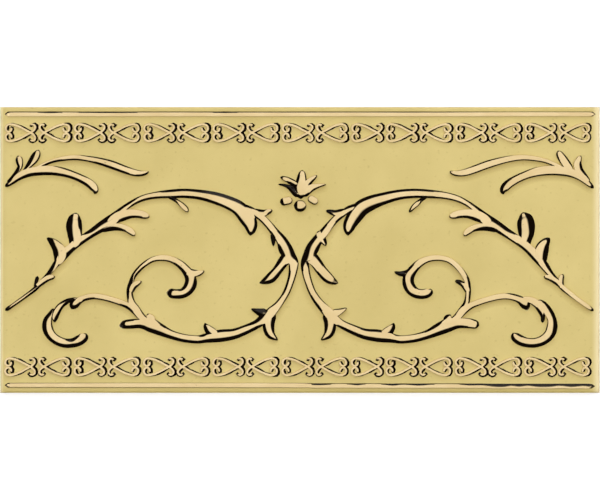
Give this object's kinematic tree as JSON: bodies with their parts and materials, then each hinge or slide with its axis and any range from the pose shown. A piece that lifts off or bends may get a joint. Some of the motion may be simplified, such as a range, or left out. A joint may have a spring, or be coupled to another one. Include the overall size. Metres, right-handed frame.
{
  "type": "border tile",
  "caption": "Pressed ceramic border tile with a satin cream glaze and gilt relief: mirrored foliage scrolls, corner sprigs, a bud, heart chains and edge bars.",
  "frame": {"origin": "middle of the flat back, which lies on z = 0", "axes": "+X along the tile's length, +Y across it towards the edge above the bud, +Z out of the decorated face"},
  "size_m": [0.25, 0.1192, 0.0097],
  "materials": {
    "glazed_body": "satin glaze in pale khaki cream",
    "gilt_relief": "polished gold lustre fired on the raised pattern"
  },
  "bodies": {
    "root": {"border_tile": "glazed_body"}
  },
  "joints": []
}
